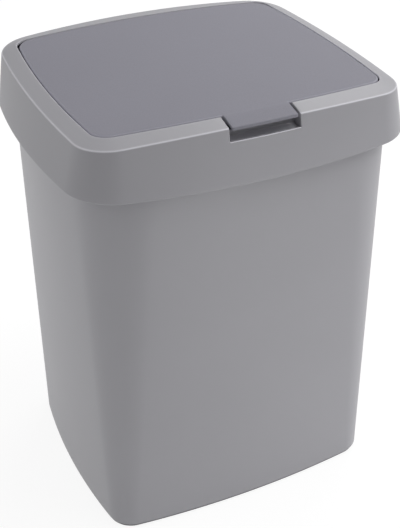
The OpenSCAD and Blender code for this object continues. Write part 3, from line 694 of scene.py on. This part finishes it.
# %% Catch spring
PIN_Z, SPRING_Y = RIM_Z - 15.0, PIN_Y + 8.5
CATCH_R, CATCH_WIRE_R, CATCH_TURNS, CATCH_L, CATCH_LOW = 2.15, 0.34, 6, 7.75, PIN_Z - 9.62
a = np.linspace(0, CATCH_TURNS * 2 * math.pi, CATCH_TURNS * 24)
climb = ramp(a / (2 * math.pi), 0.6, CATCH_TURNS - 1.2)  # the first and last turns lie nearly flat
catch_coil = np.stack([CATCH_R * np.cos(a), SPRING_Y + CATCH_R * np.sin(a), CATCH_LOW + CATCH_L * climb], 1)
catch_spring = wire("catch_spring_wire", catch_coil, CATCH_WIRE_R, hold=(0.0, 0.0, 1.0))
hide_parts("latch_spring")
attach(catch_spring, "lid_body")
SPRING_Y * MM
(PIN_Z - 10) * MM
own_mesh(catch_spring)

# %% [markdown]
# ## Shader maths in plain Python
# A finish is worked out from positions and noise. Wiring each Math node by hand hides the idea, so
# a small class wraps a socket and lets an expression such as 1 - mask add the node itself.

# %% Sockets and node trees


class Wire:
    """A socket in a node tree that takes part in arithmetic."""

    def __init__(self, shop, socket):
        self.shop, self.socket = shop, socket

    def __add__(self, other):
        return self.shop.maths("ADD", self, other)

    def __sub__(self, other):
        return self.shop.maths("SUBTRACT", self, other)

    def __rsub__(self, other):
        return self.shop.maths("SUBTRACT", other, self)

    def __mul__(self, other):
        return self.shop.maths("MULTIPLY", self, other)

    __radd__ = __add__
    __rmul__ = __mul__

    def clamp(self):
        """The value held between 0 and 1."""
        return self.shop.maths("MINIMUM", self.shop.maths("MAXIMUM", self, 0.0), 1.0)


class Shop:
    """A node tree, emptied, to which one method adds every node."""

    def __init__(self, tree):
        self.tree = tree
        tree.nodes.clear()

    def node(self, kind, settings, inputs, output=0):
        """Any node: its type, its settings, which are set first, and the values or links of its
        sockets. It gives one output as a Wire, or nothing where the node has none."""
        made = self.tree.nodes.new(kind)
        for key, value in settings.items():
            setattr(made, key, value)
        for key, value in inputs.items():
            if isinstance(value, Wire):
                self.tree.links.new(value.socket, made.inputs[key])
            else:
                made.inputs[key].default_value = value
        return Wire(self, made.outputs[output]) if made.outputs else None

    def maths(self, operation, a, b):
        return self.node("ShaderNodeMath", {"operation": operation}, {0: a, 1: b})

    def rays(self, *kinds):
        """1 for a ray of any of these kinds and 0 for all others."""
        share = 0.0
        for kind in kinds:
            share = self.maths("MAXIMUM", self.node("ShaderNodeLightPath", {}, {}, f"Is {kind} Ray"), share)
        return share


# %% [markdown]
# ## Plastic and steel
# The bucket and collar are smooth satin polypropylene: a faint waviness from the mould and slow
# changes in gloss. The flap has a fine spark textured top, slightly violet and darker. A flat colour
# would look like paper, so each finish varies a little in colour, gloss and height. The finishes of
# the plastics also read the edge share, which is painted light: painted highlights on moulded edges
# and in the gaps, and painted shade at the foot.

# %% The finish class


def grey(r, g, b):
    """A colour given as it looks on screen, from 0 to 255, turned into light: each share to the power
    2.4 after the offset that the screen standard uses."""
    c = np.array([r, g, b]) / 255
    lin = np.where(c <= 0.04045, c / 12.92, ((c + 0.055) / 1.055) ** 2.4)
    return (*[float(v) for v in lin], 1.0)


def tint(colour, by, most=1.0):
    """A colour times a number, with no channel above the most."""
    return tuple(min(most, c * by) for c in colour[:3]) + (1.0,)


class Finish(Shop):
    """One material with its Principled shader; values that vary are Wires, constants are set directly."""

    def __init__(self, name, **constants):
        self.material = bpy.data.materials.new(name)
        self.material.use_nodes = True
        super().__init__(self.material.node_tree)
        self.shader = self.node("ShaderNodeBsdfPrincipled", {}, {
            key.replace("_", " "): value for key, value in constants.items()})
        self.node("ShaderNodeOutputMaterial", {}, {0: self.shader})
        self.here = self.node("ShaderNodeTexCoord", {}, {}, "Object")

    def noise(self, scale, detail=2.0, roughness=0.5, stretch=None):
        """Noise of about 0.5, with its scale in cycles per metre, drawn out along an axis by stretch."""
        where = self.here
        if stretch:
            where = self.node("ShaderNodeMapping", {}, {"Vector": where, "Scale": stretch})
        return self.node("ShaderNodeTexNoise", {}, {
            "Vector": where, "Scale": scale, "Detail": detail, "Roughness": roughness})

    def mix(self, factor, a, b):
        """Colour a turned into colour b by a factor."""
        return self.node("ShaderNodeMix", {"data_type": "RGBA"}, {0: factor, 6: a, 7: b}, 2)

    def edges(self, base, colour):
        """The base colour with painted light: lighter by the edge share that the mesh carries, a painted
        highlight, or darker where the share is below nothing, painted shade."""
        share = self.node("ShaderNodeAttribute", {"attribute_name": "edge"}, {}, "Fac")
        lighter = self.mix(share.clamp(), base, tint(colour, 1.9, 0.85))
        return self.mix((0.0 - share).clamp(), lighter, tint(colour, 0.5))

    def feed(self, **links):
        """Links Wires to the shader's sockets, whose names are given with _ for a space."""
        for key, value in links.items():
            self.tree.links.new(value.socket, self.shader.socket.node.inputs[key.replace("_", " ")])

    def bump(self, height, distance, strength=1.0):
        """Turns a height into the shader's normal."""
        self.feed(Normal=self.node("ShaderNodeBump", {}, {
            "Height": height, "Distance": distance, "Strength": strength}))


# %% Plastics


def satin(name, colour, wave, grain, gloss=0.42):
    """Smooth moulded plastic: slow noise shifts colour and gloss, fine noise roughens the surface."""
    f = Finish(name, IOR=1.49)
    slow, fine = f.noise(14.0, 3.0), f.noise(grain, 2.0, 0.6)
    base = f.mix((slow * 1.6 - 0.3).clamp(), tint(colour, 0.955), colour)
    f.feed(Base_Color=f.edges(base, colour),
           Roughness=(slow * 0.10 + fine * 0.06 + (gloss - 0.08)).clamp())
    f.bump(slow * wave + fine * 0.012, 0.0006, 0.35)
    return f.material


def spark_texture(name, colour):
    """Spark eroded texture: two sizes of fine noise as height, pits a little darker than peaks."""
    f = Finish(name, IOR=1.49, Specular_IOR_Level=0.2)
    slow, pits, fine = f.noise(11.0, 3.0), f.noise(1500.0, 3.0, 0.65), f.noise(3400.0, 2.0, 0.5)
    base = f.mix((pits * 1.5 + slow * 0.5 - 0.5).clamp(), tint(colour, 0.90), tint(colour, 1.06))
    f.feed(Base_Color=f.edges(base, colour),
           Roughness=(pits * 0.12 + slow * 0.06 + 0.58).clamp())
    f.bump(pits + fine * 0.5, 0.00012, 0.6)
    return f.material


shell_plastic = satin("satin_shell_plastic", grey(166, 165, 170), 0.5, 2600.0)
lid_plastic = satin("satin_lid_plastic", grey(161, 160, 165), 0.5, 2600.0)
inner_plastic = satin("satin_inner_plastic", grey(156, 155, 160), 0.4, 2200.0, 0.46)
flap_plastic = spark_texture("spark_textured_flap_plastic", grey(137, 136, 145))
dark_acetal = satin("dark_acetal", grey(58, 58, 61), 0.3, 1800.0, 0.4)
pale_acetal = satin("pale_acetal", grey(214, 213, 208), 0.3, 1800.0, 0.38)

# %% Steels


def steel(name, colour, stretch, rough):
    """Drawn or plated steel: noise drawn out along the wire roughens a metal."""
    f = Finish(name, Metallic=1.0)
    lines, spots = f.noise(900.0, 3.0, 0.6, stretch), f.noise(220.0, 2.0)
    f.feed(Base_Color=f.mix((spots * 1.4 - 0.2).clamp(), tint(colour, 0.8), colour),
           Roughness=(lines * 0.2 + (rough - 0.1)).clamp())
    f.bump(lines, 0.00008, 0.4)
    return f.material


bright_steel = steel("bright_drawn_steel", grey(200, 200, 202), (0.05, 1.0, 1.0), 0.28)
zinc_steel = steel("zinc_plated_steel", grey(196, 198, 200), (1.0, 1.0, 1.0), 0.38)

# %% Every piece gets its finish
wear = [  # slot, finish, new pieces, CAD nodes
    ("shell_grey", shell_plastic, [bucket_shell], []),
    ("shell_grey", lid_plastic, [collar_shell, pocket_cheeks], []),
    ("shell_grey", inner_plastic, [seat_skin], []),
    ("flap_grey", flap_plastic, [flap_panel, flap_tab, flap_works], []),
    ("dark_acetal", dark_acetal, [], ["striker", "latch_housing"]),
    ("pale_acetal", pale_acetal, [], ["latch_pawl"]),
    ("bright_steel", bright_steel, [catch_spring, *lift_springs], ["hinge_rod", "latch_pin"]),
    ("zinc_steel", zinc_steel, [], ["rod_clips", "striker_screws", "latch_screws"]),
]
for slot, material, pieces, nodes in wear:
    for piece in pieces:
        piece.data.materials.clear()
        piece.data.materials.append(material)
    for node in nodes:
        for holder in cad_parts[node].material_slots:
            holder.material = material
    print(material.name, "on", ", ".join([piece.name for piece in pieces] + nodes))

# %% [markdown]
# ## Floor and light
# The bin stands in an even white studio. The floor shows white to the camera but still takes a soft
# shadow, and sends a little light up to the bucket. The room is brighter towards the right, and
# soft boxes stand right, left, behind on the right and high in front, with a small low one that
# lifts the foot. The front left corner faces the gap between them, so it is the skirt's darkest part.

# %% Floor
WHITE, FLOOR_GREY = (1, 1, 1, 1), (0.8, 0.8, 0.8, 1)
FLOOR_GLOW, FLOOR_BOUNCE = 0.82, 0.14  # the glow's share for what the camera sees, and for the rest
mesh = bpy.data.meshes.new("floor")
mesh.from_pydata([(-6, -6, 0), (6, -6, 0), (6, 6, 0), (-6, 6, 0)], [], [(0, 1, 2, 3)])
floor = bpy.data.objects.new("floor", mesh)
bpy.context.collection.objects.link(floor)
floor_paint = bpy.data.materials.new("studio_floor")
floor_paint.use_nodes = True
paint = Shop(floor_paint.node_tree)
matt = paint.node("ShaderNodeBsdfPrincipled", {}, {"Base Color": FLOOR_GREY, "Roughness": 0.9})
glow = paint.node("ShaderNodeEmission", {}, {"Color": WHITE, "Strength": 1.08})
share = paint.maths("MAXIMUM", paint.rays("Camera", "Glossy", "Transmission") * FLOOR_GLOW, FLOOR_BOUNCE)
paint.node("ShaderNodeOutputMaterial", {}, {
    0: paint.node("ShaderNodeMixShader", {}, {0: share, 1: matt, 2: glow})})
mesh.materials.append(floor_paint)
print("floor:", tuple(floor.dimensions), "m")

# %% World
BRIGHT_SIDE, AMBIENT_LOW, AMBIENT_HIGH, HORIZON = (0.70, 0.40, 0.55), 0.04, 0.62, 0.94
world = bpy.data.worlds.new("studio")
bpy.context.scene.world = world
world.use_nodes = True
sky = Shop(world.node_tree)
towards = sky.node("ShaderNodeTexCoord", {}, {}, "Generated")
facing = sky.node("ShaderNodeVectorMath", {"operation": "DOT_PRODUCT"}, {0: towards, 1: BRIGHT_SIDE}, "Value")
spread = sky.node("ShaderNodeMapRange", {}, {
    "Value": facing, "From Min": -1.0, "To Min": AMBIENT_LOW, "To Max": AMBIENT_HIGH})
dim = sky.node("ShaderNodeBackground", {}, {"Color": WHITE, "Strength": spread})
white = sky.node("ShaderNodeBackground", {}, {"Color": WHITE, "Strength": HORIZON})
sky.node("ShaderNodeOutputWorld", {}, {
    0: sky.node("ShaderNodeMixShader", {}, {0: sky.rays("Camera", "Transmission"), 1: dim, 2: white})})
print("room light from", AMBIENT_LOW, "to", AMBIENT_HIGH)

# %% Lamps


def stand(obj, place, right, up, back):
    """Puts an object at a place, with its own X, Y and Z along three directions."""
    obj.matrix_world = Matrix([[*axes, p] for *axes, p in zip(right, up, back, place)] + [[0, 0, 0, 1]])


def softbox(name, place, aim, size, power):
    """A square area light at a place, turned to face an aim."""
    light = bpy.data.lights.new(name, "AREA")
    light.shape, light.size, light.energy = "SQUARE", size, power
    obj = bpy.data.objects.new(name, light)
    obj.visible_camera = False
    bpy.context.collection.objects.link(obj)
    back = np.array(place, float) - np.array(aim, float)
    back /= np.linalg.norm(back)
    side = np.cross((0, 0, 1.0), back)
    side /= np.linalg.norm(side)
    stand(obj, place, side, np.cross(back, side), back)
    print(name, power, "W")


softbox("softbox_right", (1.3, -0.35, 1.35), (0, 0, 0.2), 0.8, 8.5)
softbox("softbox_left", (-1.5, 0.5, 0.8), (0, 0, 0.12), 0.8, 4.5)
softbox("softbox_back", (0.8, 0.8, 1.2), (0, 0, 0.25), 0.8, 5.0)
softbox("softbox_front", (0.5, -0.35, 1.8), (0, 0, 0.25), 0.6, 6.0)
softbox("softbox_low", (0.12, -0.5, 0.04), (0, 0, 0.03), 0.2, 0.35)

# %% [markdown]
# ## Camera
# The camera is worked out from the photograph's own lines: where it stands, how high it looks from
# and how long its lens is. Setting it by numbers instead of by eye makes every edge fall in place.

# %% Camera
AZ, EL, DIST = math.radians(-25.3), math.radians(33.8), 0.677
FOCAL, PICTURE_H, SENSOR = 1020.0, 528, 36.0  # pixels, pixels, millimetres
AIM, AIM_RIGHT = np.array([0.0, 0.0005, 0.1334]), 0.0036
right = np.array([math.cos(AZ), math.sin(AZ), 0.0])
back = np.array([math.sin(AZ) * math.cos(EL), -math.cos(AZ) * math.cos(EL), math.sin(EL)])
place = AIM + right * AIM_RIGHT + back * DIST
camera = bpy.data.cameras.new("camera")
camera.sensor_fit, camera.sensor_height, camera.sensor_width = "VERTICAL", SENSOR, SENSOR
camera.lens = SENSOR * FOCAL / PICTURE_H
camera.clip_start = 0.01
eye = bpy.data.objects.new("camera", camera)
bpy.context.collection.objects.link(eye)
stand(eye, place, right, np.cross(back, right), back)
bpy.context.scene.camera = eye
bpy.context.scene.view_settings.view_transform = "Standard"
print("camera at", place.round(3))
